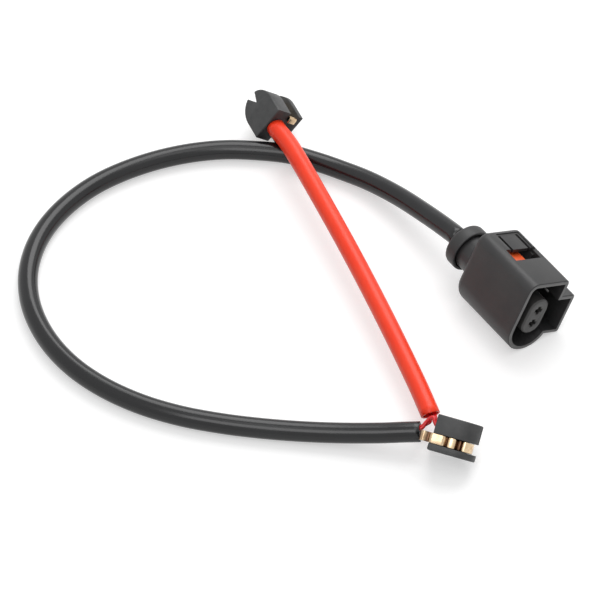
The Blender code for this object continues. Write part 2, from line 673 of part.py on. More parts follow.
def make_head(place, parts, cutters, frame):
    groove_start = BLOCK_THICKNESS
    groove_end = BLOCK_THICKNESS + GROOVE_WIDTH
    far = groove_end + FLANGE_THICKNESS
    half = HEAD_WIDTH / 2
    name = f"{place}_head_body"
    block = head_layer(
        name, half, HEAD_SIDE, HEAD_LENGTH, [(0, HEAD_EDGE), (HEAD_EDGE, 0), (groove_start, 0)]
    )
    head = new_object(name, block, parts, frame)
    notch_x = HEAD_LENGTH - NOTCH_DEPTH
    past = HEAD_LENGTH + OVERRUN
    slope = NOTCH_MOUTH / 2 * (past - notch_x) / NOTCH_DEPTH
    triangle = [(notch_x, NOTCH_LEAN), (past, -slope), (past, slope)]
    rings = [[(x, y, z) for x, y in triangle] for z in (-OVERRUN, groove_start + OVERRUN)]
    cut(head, loft(f"{place}_notch", rings), cutters, f"{place}_notch")
    neck_side = HEAD_SIDE * HEAD_NECK_LENGTH / HEAD_LENGTH
    neck = head_layer(
        f"{place}_head_neck",
        HEAD_NECK_WIDTH / 2,
        neck_side,
        HEAD_NECK_LENGTH,
        [(groove_start - LAP, 0), (groove_end + LAP, 0)],
    )
    flange = head_layer(
        f"{place}_head_flange",
        half,
        HEAD_SIDE,
        HEAD_LENGTH,
        [(groove_end, 0), (far - HEAD_EDGE, 0), (far, HEAD_EDGE)],
    )
    join(head, neck, cutters, f"{place}_head_neck")
    join(head, flange, cutters, f"{place}_head_flange")
    way = smooth_points(loop_points(), 2 * WIRE_R)
    beyond = Vector((-2 * OVERRUN, 0, 0))
    bore = tube_mesh(f"{place}_wire_way", [way[0] + beyond, *way, way[-1] + beyond], WIRE_R + GAP, cutters)
    cut(head, bore, cutters, f"{place}_wire_way")
    return head


def make_clip(place, way_up, parts, frame):
    """A strip that stands in the groove and wraps the neck. Way up is -1 where its wavy side lies at -y."""
    route = CLIP_FEET[place] + CLIP_WAVES + CLIP_NOSE + CLIP_PLAIN + CLIP_HOOK
    path = smooth_points(in_mm((x, y * way_up, 0) for x, y in route), CLIP_STEP)
    low = BLOCK_THICKNESS + 2 * GAP
    high = BLOCK_THICKNESS + GROOVE_WIDTH - GAP
    bm = bmesh.new()
    verts = [bm.verts.new((p.x, p.y, low)) for p in path]
    edges = [bm.edges.new(pair) for pair in zip(verts, verts[1:])]
    raised = bmesh.ops.extrude_edge_only(bm, edges=edges)["geom"]
    moved = [v for v in raised if isinstance(v, bmesh.types.BMVert)]
    bmesh.ops.translate(bm, verts=moved, vec=(0, 0, high - low))
    clip = new_object(f"{place}_head_clip", mesh_from(bm, f"{place}_head_clip"), parts, frame)
    shell = clip.modifiers.new("thickness", "SOLIDIFY")
    shell.thickness = CLIP_THICKNESS
    shell.offset = 0
    return clip


def make_near_wires(parts, frame):
    """The loop from the sheath through the near head to the sleeve, and the wire that passes it by."""
    loop = loop_points()
    route = [*in_mm([LINK_END, *LINK_BEND]), *loop, *in_mm([*FEED_BEND, FEED_START])]
    near_loop = tube_curve("near_loop_wire", smooth_points(route, WIRE_STEP), WIRE_R, 2, parts, frame)
    bypass_way = smooth_points(in_mm(RETURN_ROUTE), WIRE_STEP)
    bypass = tube_curve("return_wire", bypass_way, WIRE_R, 2, parts, frame)
    return [near_loop, bypass]


def main():
    for obj in list(bpy.data.objects):
        bpy.data.objects.remove(obj)
    parts = bpy.data.collections.new("brake_pad_wear_sensor")
    cutters = bpy.data.collections.new("cutters")
    bpy.context.scene.collection.children.link(parts)
    bpy.context.scene.collection.children.link(cutters)

    whole = new_object("sensor_frame", None, cutters)
    roll, axis_height = plug_rest()
    plug = new_object("plug_frame", None, cutters, whole)
    plug.location = (0, 0, axis_height)
    plug.rotation_euler = (roll, 0, 0)
    heads = {}
    for place, turn, xy in (("near", NEAR_HEAD_TURN, NEAR_HEAD_XY), ("far", FAR_HEAD_TURN, FAR_HEAD_XY)):
        heads[place] = new_object(f"{place}_head_frame", None, cutters, whole)
        heads[place].matrix_local = head_rest(turn, xy)

    black = material("black_nylon", (0.035, 0.035, 0.037), 0.45)
    rubber = material("black_rubber", (0.03, 0.03, 0.031), 0.6)
    orange = material("orange_nylon", (0.75, 0.09, 0.015), 0.4)
    sheath_black = material("sheath_black", (0.03, 0.031, 0.033), 0.4)
    sleeve_red = material("sleeve_red", (0.85, 0.06, 0.03), 0.4)
    wire_red = material("wire_red", (0.75, 0.02, 0.02), 0.35)
    brass = material("clip_brass", (0.72, 0.5, 0.25), 0.3, 1.0)
    tinned = material("terminal_tin", (0.7, 0.7, 0.68), 0.35, 1.0)

    dressed = [
        (make_housing(parts, cutters, plug), black),
        (make_lock(parts, cutters, plug), orange),
        (make_carrier(parts, cutters, plug), black),
        (make_ring_seal(parts, cutters, plug), rubber),
        (make_wire_seal(parts, cutters, plug), rubber),
        (make_boot(parts, plug), rubber),
    ]
    dressed += [(terminal, tinned) for terminal in make_terminals(parts, cutters, plug)]
    dressed += [(wire, sheath_black) for wire in make_lead_wires(parts, plug)]
    for place, frame in heads.items():
        dressed.append((make_head(place, parts, cutters, frame), black))
        dressed.append((make_clip(place, CLIP_WAY_UP[place], parts, frame), brass))
    dressed += [(wire, wire_red) for wire in make_near_wires(parts, heads["near"])]
    far_loop = smooth_points(loop_points(), WIRE_STEP)
    dressed.append((tube_curve("far_loop_wire", far_loop, WIRE_R, 2, parts, heads["far"]), wire_red))

    # The free tubes run from the boot to the near head, and from the far head to the near one.
    start_x = boot_end_x() - GAP
    sheath_start = [Vector((x, 0, axis_height)) for x in (start_x, start_x - TUBE_STRAIGHT)]
    sheath_route = smooth_points([sheath_start[1], *in_mm(SHEATH_ROUTE)], TUBE_STEP)
    sheath = tube_curve("black_sheath", [sheath_start[0], *sheath_route], SHEATH_R, 3, parts, whole)
    far_rest = head_rest(FAR_HEAD_TURN, FAR_HEAD_XY)
    sleeve_start = [far_rest @ Vector((x, 0, SLEEVE_SEAT_Z)) for x in (-GAP, -GAP - TUBE_STRAIGHT)]
    sleeve_route = smooth_points([sleeve_start[1], *in_mm(SLEEVE_ROUTE)], TUBE_STEP)
    sleeve = tube_curve("red_sleeve", [sleeve_start[0], *sleeve_route], SLEEVE_R, 3, parts, whole)
    centred = [obj for obj, _ in dressed]
    dressed += [(sheath, sheath_black), (sleeve, sleeve_red)]
    for obj, look in dressed:
        obj.data.materials.append(look)

    # The origin is under the middle of the rigid pieces, on the floor.
    bpy.context.view_layer.update()
    graph = bpy.context.evaluated_depsgraph_get()
    corners = []
    for obj in centred:
        solid = obj.evaluated_get(graph).to_mesh()
        corners += [obj.matrix_world @ v.co for v in solid.vertices]
        obj.evaluated_get(graph).to_mesh_clear()
    for axis in (0, 1):
        values = [p[axis] for p in corners]
        whole.location[axis] = -(min(values) + max(values)) / 2
    bpy.context.view_layer.update()


main()
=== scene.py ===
# Dresses the brake pad wear sensor: camera and light first, then the materials, the two free tubes, the thin
# red wires, the brass clips, the moulded plug and sensor heads, and the rubber boot.

import math

import bmesh
import bpy
from mathutils import Euler, Matrix, Vector


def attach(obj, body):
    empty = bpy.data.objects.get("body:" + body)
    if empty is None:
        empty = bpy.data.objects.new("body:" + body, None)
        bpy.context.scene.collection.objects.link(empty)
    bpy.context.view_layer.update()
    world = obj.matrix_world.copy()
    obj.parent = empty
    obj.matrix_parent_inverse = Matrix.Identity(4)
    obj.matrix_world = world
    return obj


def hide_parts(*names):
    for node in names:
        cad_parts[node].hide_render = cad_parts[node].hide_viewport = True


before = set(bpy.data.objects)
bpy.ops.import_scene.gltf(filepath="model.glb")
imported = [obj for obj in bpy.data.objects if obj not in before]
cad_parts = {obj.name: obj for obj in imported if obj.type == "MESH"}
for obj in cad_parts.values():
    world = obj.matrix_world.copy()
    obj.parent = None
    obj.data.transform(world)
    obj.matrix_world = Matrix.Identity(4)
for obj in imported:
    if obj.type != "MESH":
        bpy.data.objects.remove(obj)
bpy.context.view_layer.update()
mm = 0.001

# How the part lies on the floor, as the source has it: millimetres and degrees, from the plug's own place
lie = {
    "shift": (49.537, 21.605),
    "plugRoll": -114.709,
    "plugHeight": 12.047,
    "nearHead": ((15.3, -47.8, 12.596), (128.0, 5.8, 39.9)),
    "farHead": ((-117.1, -21.5, 12.092), (130.3, -1.9, 169.6)),
}
shift = Matrix.Translation((lie["shift"][0] * mm, lie["shift"][1] * mm, 0))
plugPlace = shift @ Matrix.Translation((0, 0, lie["plugHeight"] * mm))
plugPlace = plugPlace @ Matrix.Rotation(math.radians(lie["plugRoll"]), 4, "X")


def headPlace(where):
    place, turn = lie[where]
    turned = Euler([math.radians(a) for a in turn], "XYZ").to_matrix().to_4x4()
    return shift @ Matrix.Translation([v * mm for v in place]) @ turned


nearPlace = headPlace("nearHead")
farPlace = headPlace("farHead")


# One value in a node tree. Sums and products of values add their Math nodes.
class Value:
    def __init__(self, graph, socket):
        self.graph = graph
        self.socket = socket

    def maths(self, operation, a, b):
        return self.graph.add("ShaderNodeMath", {"operation": operation}, {0: a, 1: b})

    def __add__(self, other):
        return self.maths("ADD", self, other)

    def __radd__(self, other):
        return self.maths("ADD", other, self)

    def __mul__(self, other):
        return self.maths("MULTIPLY", self, other)

    def __rmul__(self, other):
        return self.maths("MULTIPLY", other, self)


# A node tree for a material or for Geometry Nodes. Each node comes from add: its type, its settings, which
# are set first, then the values or links of its sockets.
class Graph:
    def __init__(self, tree):
        self.tree = tree

    def add(self, kind, settings=None, inputs=None, output=0):
        node = self.tree.nodes.new(kind)
        for key, value in (settings or {}).items():
            if key == "stops":
                ramp = node.color_ramp
                while len(ramp.elements) < len(value):
                    ramp.elements.new(0.5)
                for element, (at, colour) in zip(ramp.elements, value):
                    element.position = at
                    element.color = colour
            else:
                setattr(node, key, value)
        for key, value in (inputs or {}).items():
            if isinstance(value, Value):
                self.tree.links.new(value.socket, node.inputs[key])
            else:
                node.inputs[key].default_value = value
        return Value(self, node.outputs[output]) if node.outputs else node


def newMaterial(name):
    material = bpy.data.materials.new(name)
    material.use_nodes = True
    material.node_tree.nodes.clear()
    return material, Graph(material.node_tree)


def closeMaterial(graph, shader):
    graph.add("ShaderNodeOutputMaterial", None, {"Surface": shader})


# camera, light and floor

view = {
    "azimuth": 55.708,
    "elevation": 48.0,
    "place": (563.41, -472.68, 833.01),
    "lens": 213.22,
    "sensor": 36,
    "clip": (0.05, 20),
}


def makeCamera():
    data = bpy.data.cameras.new("photoCamera")
    data.sensor_width = view["sensor"]
    data.lens = view["lens"]
    data.clip_start, data.clip_end = view["clip"]
    camera = bpy.data.objects.new("photoCamera", data)
    bpy.context.scene.collection.objects.link(camera)
    camera.location = shift @ (Vector(view["place"]) * mm)
    camera.rotation_euler = (math.radians(90 - view["elevation"]), 0, math.radians(view["azimuth"]))
    bpy.context.scene.camera = camera
    bpy.context.scene.view_settings.view_transform = "Standard"
    print("camera set")


light = {
    "skyWay": Vector((-0.45, 0.50, 0.74)),
    "skyLow": 0.12,
    "skyRise": 0.62,
    "lamps": {
        "backSoftbox": {"place": (-0.34, 0.43, 0.80), "size": 0.70, "power": 5.2},
        "topSoftbox": {"place": (0.15, -0.05, 1.10), "size": 0.50, "power": 1.0},
        "frontSoftbox": {"place": (0.33, -0.44, 0.78), "size": 0.46, "power": 1.9},
    },
    "floorColour": (0.64, 0.64, 0.64, 1),
    "floorLift": 0.48,
    "floorSize": 3.0,
}


# The studio lights from behind and above, and falls off towards the camera. Seen straight or in a gloss it is
# plain white, as the floor is.
def makeLight():
    world = bpy.data.worlds.new("studio")
    bpy.context.scene.world = world
    world.use_nodes = True
    world.node_tree.nodes.clear()
    graph = Graph(world.node_tree)
    path = "ShaderNodeLightPath"
    seen = graph.add(path, None, None, "Is Camera Ray")
    through = graph.add(path, None, None, "Is Transmission Ray")
    mirrored = graph.add(path, None, None, "Is Glossy Ray")
    way = graph.add("ShaderNodeTexCoord", None, None, "Generated")
    rise = graph.add(
        "ShaderNodeVectorMath",
        {"operation": "DOT_PRODUCT"},
        {0: way, 1: light["skyWay"].normalized()},
        "Value",
    )
    glow = light["skyLow"] + light["skyRise"] * rise.maths("MAXIMUM", rise, 0.0)
    strength = rise.maths("MAXIMUM", glow, seen + through + mirrored)
    sky = graph.add("ShaderNodeBackground", None, {"Color": (1, 1, 1, 1), "Strength": strength})
    graph.add("ShaderNodeOutputWorld", None, {"Surface": sky})

    for name, lamp in light["lamps"].items():
        data = bpy.data.lights.new(name, "AREA")
        data.size = lamp["size"]
        data.energy = lamp["power"]
        holder = bpy.data.objects.new(name, data)
        bpy.context.scene.collection.objects.link(holder)
        holder.location = lamp["place"]
        holder.rotation_euler = (-Vector(lamp["place"])).to_track_quat("-Z", "Y").to_euler()

    material, graph = newMaterial("paleFloor")
    seen = graph.add(path, None, None, "Is Camera Ray")
    glossy = graph.add(path, None, None, "Is Glossy Ray")
    paper = graph.add("ShaderNodeBsdfDiffuse", None, {"Color": light["floorColour"]})
    lift = graph.add("ShaderNodeEmission", None, {"Strength": light["floorLift"] * (seen + glossy)})
    closeMaterial(graph, graph.add("ShaderNodeAddShader", None, {0: paper, 1: lift}))
    bpy.ops.mesh.primitive_plane_add(size=light["floorSize"])
    floor = bpy.context.object
    floor.name = "floor"
    floor.data.materials.append(material)
    print("light and floor set")


makeCamera()
makeLight()


# materials

# What every moulded finish shares: broad patches of colour and gloss over a fine grain
mould = {
    "patchDetail": 3.0,
    "patchRoughness": 0.55,
    "grainDetail": 2.0,
    "grainRoughness": 0.6,
    "ramp": (0.30, 0.75),
    "bump": 0.6,
    "roughBelow": 0.04,
    "roughSpread": 0.08,
    "specular": 0.5,
}
finishes = {
    "nylon": {
        "colour": (0.018, 0.018, 0.019), "pale": (0.030, 0.029, 0.029), "patch": 140, "rough": 0.46,
        "grain": 2600, "depth": 0.000018,
    },
    # painted shade: a darker copy of the nylon for the faces inside the plug's hollow
    "nylonHollowShade": {
        "colour": (0.010, 0.010, 0.011), "pale": (0.016, 0.016, 0.016), "patch": 140, "rough": 0.55,
        "grain": 2600, "depth": 0.000018,
    },
    # painted highlight: a paler copy of the nylon for the front rim's faces that point out
    "nylonRimHighlight": {
        "colour": (0.10, 0.10, 0.10), "pale": (0.15, 0.15, 0.148), "patch": 240, "rough": 0.40,
        "grain": 2600, "depth": 0.000018,
    },
    "headNylon": {
        "colour": (0.026, 0.027, 0.028), "pale": (0.054, 0.054, 0.054), "patch": 260, "rough": 0.48,
        "grain": 2000, "depth": 0.000030,
    },
    "insert": {
        "colour": (0.045, 0.044, 0.043), "pale": (0.062, 0.061, 0.059), "patch": 220, "rough": 0.45,
        "grain": 2800, "depth": 0.000015,
    },
    "rubber": {
        "colour": (0.016, 0.016, 0.017), "pale": (0.026, 0.026, 0.026), "patch": 160, "rough": 0.50,
        "grain": 3200, "depth": 0.000010,
    },
    "sheath": {
        "colour": (0.008, 0.008, 0.009), "pale": (0.012, 0.013, 0.014), "patch": 90, "rough": 0.21,
        "grain": 1500, "depth": 0.000012, "specular": 0.42,
    },
    "sleeve": {
        "colour": (0.97, 0.044, 0.010), "pale": (0.99, 0.060, 0.018), "patch": 70, "rough": 0.34,
        "grain": 1200, "depth": 0.000010, "specular": 0.35,
    },
    # painted shade: a dark red copy of the sleeve's colour for its bore
    "sleeveBoreShade": {
        "colour": (0.42, 0.018, 0.012), "pale": (0.50, 0.025, 0.016), "patch": 200, "rough": 0.50,
        "grain": 1600, "depth": 0.000010,
    },
    # painted highlight: a pale pink copy of the sleeve's colour for its cut rim
    "sleeveRimHighlight": {
        "colour": (0.90, 0.42, 0.36), "pale": (0.95, 0.58, 0.52), "patch": 400, "rough": 0.40,
        "grain": 1600, "depth": 0.000010,
    },
    "wire": {
        "colour": (0.70, 0.014, 0.018), "pale": (0.82, 0.025, 0.028), "patch": 300, "rough": 0.28,
        "grain": 2000, "depth": 0.000006,
    },
    "orange": {
        "colour": (0.78, 0.085, 0.014), "pale": (0.86, 0.12, 0.022), "patch": 250, "rough": 0.42,
        "grain": 2400, "depth": 0.000010,
    },
}


def mouldedFinish(name):
    finish = finishes[name]
    material, graph = newMaterial(name)
    place = graph.add("ShaderNodeTexCoord", None, None, "Object")
    patches, grain = [
        graph.add(
            "ShaderNodeTexNoise",
            None,
            {
                "Vector": place,
                "Scale": finish[kind],
                "Detail": mould[f"{kind}Detail"],
                "Roughness": mould[f"{kind}Roughness"],
            },
        )
        for kind in ("patch", "grain")
    ]
    low, high = mould["ramp"]
    colour = graph.add(
        "ShaderNodeValToRGB",
        {"stops": [(low, (*finish["colour"], 1)), (high, (*finish["pale"], 1))]},
        {"Fac": patches},
    )
    bump = graph.add(
        "ShaderNodeBump", None, {"Strength": mould["bump"], "Distance": finish["depth"], "Height": grain}
    )
    rough = finish["rough"] - mould["roughBelow"] + mould["roughSpread"] * patches
    shader = graph.add(
        "ShaderNodeBsdfPrincipled",
        None,
        {
            "Base Color": colour,
            "Roughness": rough,
            "Normal": bump,
            "Specular IOR Level": finish.get("specular", mould["specular"]),
        },
    )
    closeMaterial(graph, shader)
    return material


brass = {
    "colour": (0.78, 0.61, 0.40, 1),
    "dull": (0.56, 0.40, 0.25, 1),
    "rough": 0.17,
    "streaks": 5200,
    "depth": 0.000010,
    # painted shade for the deep bends, and a set darkening of the foot and the first flat
    "tarnish": (0.13, 0.068, 0.040, 1),
    "streaksAlong": 60,
    "patches": 420,
    "detail": 3.0,
    "ramp": (0.35, 0.55),
    "bump": 0.7,
    "roughSpread": 0.14,
}


def brassFinish():
    material, graph = newMaterial("brass")
    along = graph.add("ShaderNodeUVMap", {"uv_map": "strip"})
    stretch = (brass["streaksAlong"], brass["streaks"], 1)
    stretched = graph.add("ShaderNodeMapping", None, {"Vector": along, "Scale": stretch})
    streaks = graph.add(
        "ShaderNodeTexNoise", None, {"Vector": stretched, "Scale": 1.0, "Detail": brass["detail"]}
    )
    place = graph.add("ShaderNodeTexCoord", None, None, "Object")
    patches = graph.add(
        "ShaderNodeTexNoise", None, {"Vector": place, "Scale": brass["patches"], "Detail": brass["detail"]}
    )
    low, high = brass["ramp"]
    colour = graph.add(
        "ShaderNodeValToRGB", {"stops": [(low, brass["dull"]), (high, brass["colour"])]}, {"Fac": patches}
    )
    # Painted shade: a dark brown mixed in where the strip lies deep in the groove, plus a set darkening
    shadeAndDarkeningMask = graph.add("ShaderNodeAttribute", {"attribute_name": "tarnish"}, None, "Fac")
    colour = graph.add(
        "ShaderNodeMix", {"data_type": "RGBA"}, {0: shadeAndDarkeningMask, 6: colour, 7: brass["tarnish"]}, 2
    )
    bump = graph.add(
        "ShaderNodeBump", None, {"Strength": brass["bump"], "Distance": brass["depth"], "Height": streaks}
    )
    rough = brass["rough"] + brass["roughSpread"] * streaks
    shader = graph.add(
        "ShaderNodeBsdfPrincipled",
        None,
        {"Base Color": colour, "Metallic": 1.0, "Roughness": rough, "Normal": bump},
    )
    closeMaterial(graph, shader)
    return material


tin = {"colour": (0.66, 0.66, 0.64, 1), "rough": 0.34}


def tinFinish():
    material, graph = newMaterial("tin")
    shader = graph.add(
        "ShaderNodeBsdfPrincipled",
        None,
        {"Base Color": tin["colour"], "Metallic": 1.0, "Roughness": tin["rough"]},
    )
    closeMaterial(graph, shader)
    return material


looks = {name: mouldedFinish(name) for name in finishes}
looks["brass"] = brassFinish()
looks["tin"] = tinFinish()
print("materials made")


# helpers for shapes


def newPiece(name, mesh, look, slot, *stoodFor):
    piece = bpy.data.objects.new(name, mesh)
    bpy.context.scene.collection.objects.link(piece)
    mesh.materials.clear()
    mesh.materials.append(looks[look])
    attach(piece, "root")
    if stoodFor:
        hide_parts(*stoodFor)
    return piece


samplesPerStretch = 24


# Points about a step apart on the smooth curve through a route
def smoothPoints(route, step):
    points = [Vector(p) for p in route]
    ends = [2 * points[0] - points[1], *points, 2 * points[-1] - points[-2]]
    fine = []
    for a, b, c, d in zip(ends, ends[1:], ends[2:], ends[3:]):
        for i in range(samplesPerStretch):
            t = i / samplesPerStretch
            spread = (-a + 3 * b - 3 * c + d) * t**3
            spread += (2 * a - 5 * b + 4 * c - d) * t**2 + (c - a) * t
            fine.append(b + spread / 2)
    fine.append(points[-1])
    along = [0.0]
    for p, q in zip(fine, fine[1:]):
        along.append(along[-1] + (q - p).length)
    count = max(2, round(along[-1] / step))
    spaced = []
    k = 0
    for i in range(count + 1):
        want = along[-1] * i / count
        while k < len(fine) - 2 and along[k + 1] < want:
            k += 1
        share = (want - along[k]) / max(along[k + 1] - along[k], 1e-12)
        spaced.append(fine[k].lerp(fine[k + 1], min(1.0, share)))
    return spaced


lipProud = 0.6  # how far a mouth's lip stands past the last point, in lips


# A tube swept along points, closed at its start. Its far end is a hollow mouth that can be cut aslant. Slot 1
# is the bore's finish, and slot 2 the cut rim's painted highlight.
def hollowTube(name, points, tube):
    tangents = [(q - p).normalized() for p, q in zip(points, points[1:])]
    tangents.append(tangents[-1])
    side = tangents[0].cross(Vector((0, 0, 1))).normalized()
    frames = []
    for tangent in tangents:
        side = (side - tangent * side.dot(tangent)).normalized()
        frames.append((side, tangent.cross(side)))
    sides = tube["sides"]
    turns = [2 * math.pi * k / sides for k in range(sides)]
    bm = bmesh.new()
    sweep = bm.loops.layers.uv.new("sweep")

    def ring(centre, index, radius, slant=0.0):
        across, up = frames[index]
        tangent = tangents[index]
        out = []
        for a in turns:
            offset = (across * math.cos(a) + up * math.sin(a)) * radius
            out.append(bm.verts.new(centre + offset + tangent * slant * offset.dot(tube["slantWay"])))
        return out

    rings = []
    far = []
    travelled = 0.0
    for i, centre in enumerate(points):
        if i:
            travelled += (centre - points[i - 1]).length
        rings.append(ring(centre, i, tube["radius"], tube["slant"] if i == len(points) - 1 else 0.0))
        far.append(travelled)
    last = len(points) - 1
    lip = tube["lip"]
    back = tangents[last]
    bore = tube["radius"] - tube["wall"]
    proud = points[last] + back * lip * lipProud
    rings.append(ring(proud, last, tube["radius"] - lip, tube["slant"]))
    rings.append(ring(proud, last, bore + lip, tube["slant"]))
    rings.append(ring(points[last], last, bore, tube["slant"]))
    far += [travelled + lip, travelled + 2 * lip, travelled + 3 * lip]
    inwards = 0
    while last - inwards > 0 and (points[last] - points[last - inwards]).length < tube["boreDepth"]:
        inwards += 1
        rings.append(ring(points[last - inwards], last - inwards, bore))
        far.append(far[-1] + (points[last - inwards] - points[last - inwards + 1]).length)
    for r, (lower, upper) in enumerate(zip(rings, rings[1:])):
        for k in range(sides):
            j = (k + 1) % sides
            face = bm.faces.new((lower[k], lower[j], upper[j], upper[k]))
            face.smooth = True
            if r >= len(points) + 2:
                face.material_index = 1
            elif tube["paintedRimHighlight"] and r == len(points):
                face.material_index = 2
            spots = ((k, far[r]), (k + 1, far[r]), (k + 1, far[r + 1]), (k, far[r + 1]))
            for loop, (turn, reach) in zip(face.loops, spots):
                loop[sweep].uv = (turn / sides, reach)
    bm.faces.new(list(reversed(rings[0])))
    bm.faces.new(rings[-1]).material_index = 1
    bmesh.ops.recalc_face_normals(bm, faces=bm.faces)
    mesh = bpy.data.meshes.new(name)
    bm.to_mesh(mesh)
    bm.free()
    return mesh


refine = {"merge": 0.000004, "flat": 0.8, "sharp": 28, "segments": 3}


# A smooth copy of a CAD node: its loose triangles are joined, flat faces made whole and edges rounded.
def refinedNode(node, name, look, slot, edge):
    bm = bmesh.new()
    bm.from_mesh(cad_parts[node].data)
    bmesh.ops.remove_doubles(bm, verts=bm.verts, dist=refine["merge"])
    bmesh.ops.dissolve_limit(bm, angle_limit=math.radians(refine["flat"]), verts=bm.verts, edges=bm.edges)
    for face in bm.faces:
        face.smooth = True
    mesh = bpy.data.meshes.new(name)
    bm.to_mesh(mesh)
    bm.free()
    piece = newPiece(name, mesh, look, slot, node)
    rounding = piece.modifiers.new("rounding", "BEVEL")
    rounding.width = edge
    rounding.segments = refine["segments"]
    rounding.limit_method = "ANGLE"
    rounding.angle_limit = math.radians(refine["sharp"])
    rounding.use_clamp_overlap = True
    rounding.harden_normals = True
    rounding.miter_outer = "MITER_ARC"
    return piece


# Geometry Nodes for wires and strips


def followTree(name, profile):
    tree = bpy.data.node_groups.new(name, "GeometryNodeTree")
    face = tree.interface
    face.new_socket("Geometry", in_out="INPUT", socket_type="NodeSocketGeometry")
    keys = {}
    for label, kind, value in profile["inputs"]:
        made = face.new_socket(label, in_out="INPUT", socket_type=kind)
        if value is not None:
            made.default_value = value
        keys[label] = made.identifier
    face.new_socket("Geometry", in_out="OUTPUT", socket_type="NodeSocketGeometry")
    graph = Graph(tree)
    entry = graph.add("NodeGroupInput").socket.node
    given = {socket.name: Value(graph, socket) for socket in entry.outputs if socket.name}
    path = graph.add("GeometryNodeMeshToCurve", None, {"Mesh": given["Geometry"]})
    path = graph.add("GeometryNodeSetCurveNormal", {"mode": profile["normals"]}, {"Curve": path})
    measured = graph.add("GeometryNodeSplineParameter", None, None, "Length")
    path = graph.add(
        "GeometryNodeStoreNamedAttribute",
        {"data_type": "FLOAT", "domain": "POINT"},
        {"Geometry": path, "Name": "reach", "Value": measured},
    )
    shape = profile["shape"](graph, given)
    rim = graph.add("GeometryNodeSplineParameter", None, None, "Length")
    shape = graph.add(
        "GeometryNodeStoreNamedAttribute",
        {"data_type": "FLOAT", "domain": "POINT"},
        {"Geometry": shape, "Name": "round", "Value": rim},
    )
    body = graph.add(
        "GeometryNodeCurveToMesh", None, {"Curve": path, "Profile Curve": shape, "Fill Caps": True}
    )
    body = graph.add("GeometryNodeSetShadeSmooth", None, {"Geometry": body})
    body = graph.add("GeometryNodeRealizeInstances", None, {"Geometry": body})
    body = graph.add("GeometryNodeSetMaterial", None, {"Geometry": body, "Material": given["Material"]})
    graph.add("NodeGroupOutput", None, {0: body})
    return tree, keys


def roundShape(graph, given):
    return graph.add(
        "GeometryNodeCurvePrimitiveCircle",
        {"mode": "RADIUS"},
        {"Resolution": given["Sides"], "Radius": given["Radius"]},
    )


def stripShape(graph, given):
    flat = graph.add(
        "GeometryNodeCurvePrimitiveQuadrilateral",
        {"mode": "RECTANGLE"},
        {"Width": given["Thickness"], "Height": given["Height"]},
    )
    return graph.add(
        "GeometryNodeFilletCurve",
        {"mode": "POLY"},
        {"Curve": flat, "Count": given["Corner Steps"], "Radius": given["Edge"]},
    )


wireTree, wireKeys = followTree(
    "wireAlongPath",
    {
        "normals": "MINIMUM_TWIST",
        "shape": roundShape,
        "inputs": [
            ("Radius", "NodeSocketFloat", 0.0006),
            ("Sides", "NodeSocketInt", 20),
            ("Material", "NodeSocketMaterial", None),
        ],
    },
)
stripTree, stripKeys = followTree(
    "stripAlongPath",
    {
        "normals": "Z_UP",
        "shape": stripShape,
        "inputs": [
            ("Thickness", "NodeSocketFloat", 0.00035),
            ("Height", "NodeSocketFloat", 0.0025),
            ("Edge", "NodeSocketFloat", 0.0001),
            ("Corner Steps", "NodeSocketInt", 3),
            ("Material", "NodeSocketMaterial", None),
        ],
    },
)


# Runs a tree along points and gives the plain mesh, in the row's frame
def followed(name, points, tree, keys, values, place):
    line = bpy.data.meshes.new(f"{name}Line")
    line.from_pydata([tuple(p) for p in points], [(i, i + 1) for i in range(len(points) - 1)], [])
    holder = bpy.data.objects.new(f"{name}Line", line)
    bpy.context.scene.collection.objects.link(holder)
    modifier = holder.modifiers.new("follow", "NODES")
    modifier.node_group = tree
    for label, value in values.items():
        modifier[keys[label]] = value
    graph = bpy.context.evaluated_depsgraph_get()
    mesh = bpy.data.meshes.new_from_object(holder.evaluated_get(graph))
    mesh.name = name
    holder.modifiers.remove(modifier)
    bpy.data.objects.remove(holder)
    mesh.transform(place)
    return mesh


# The strip's own length and breadth as a UV map, so that the rolling marks follow it
def stripUv(mesh):
    reach = [v.value for v in mesh.attributes["reach"].data]
    around = [v.value for v in mesh.attributes["round"].data]
    layer = mesh.uv_layers.new(name="strip")
    for loop in mesh.loops:
        layer.data[loop.index].uv = (reach[loop.vertex_index], around[loop.vertex_index])


# the two free tubes

# Millimetres from the plug's own place, the same points as in the source
sheath = {
    "route": [
        (-45.6, 0.1, 11.2), (-56.3, -0.5, 9.2), (-70.3, -1.9, 6.6), (-82.9, -4.7, 4.6), (-93.2, -8.9, 3.5),
        (-101.0, -13.2, 3.27), (-109.2, -19.0, 3.25), (-117.4, -28.1, 3.25), (-123.2, -36.4, 3.25),
        (-127.9, -46.4, 3.25), (-131.1, -57.2, 3.25), (-132.7, -68.6, 3.25), (-132.5, -79.6, 3.25),
        (-130.0, -90.8, 3.25), (-125.4, -101.2, 3.25), (-118.6, -110.3, 3.25), (-109.4, -117.9, 3.25),
        (-97.9, -123.3, 3.25), (-84.8, -125.9, 3.25), (-71.6, -125.5, 3.25), (-58.9, -122.3, 3.25),
        (-46.6, -116.6, 3.25), (-35.6, -109.1, 3.25), (-25.9, -100.4, 3.25), (-17.3, -91.4, 3.3),
        (-9.2, -82.2, 3.6), (-1.3, -72.9, 4.4), (6.4, -63.7, 5.8), (11.0, -58.0, 6.9), (14.2, -54.1, 7.6),
    ],
    "start": -40.3,
    "length": 0.3413,
    "straight": 1.5,
    "radius": 3.2 * mm,
    "wall": 0.75 * mm,
    "lip": 0.15 * mm,
    "slant": 0.0,
    "slantWay": Vector((0, 0, 1)),
    "paintedRimHighlight": False,
    "boreDepth": 12 * mm,
    "sides": 48,
    "step": 1.6 * mm,
}
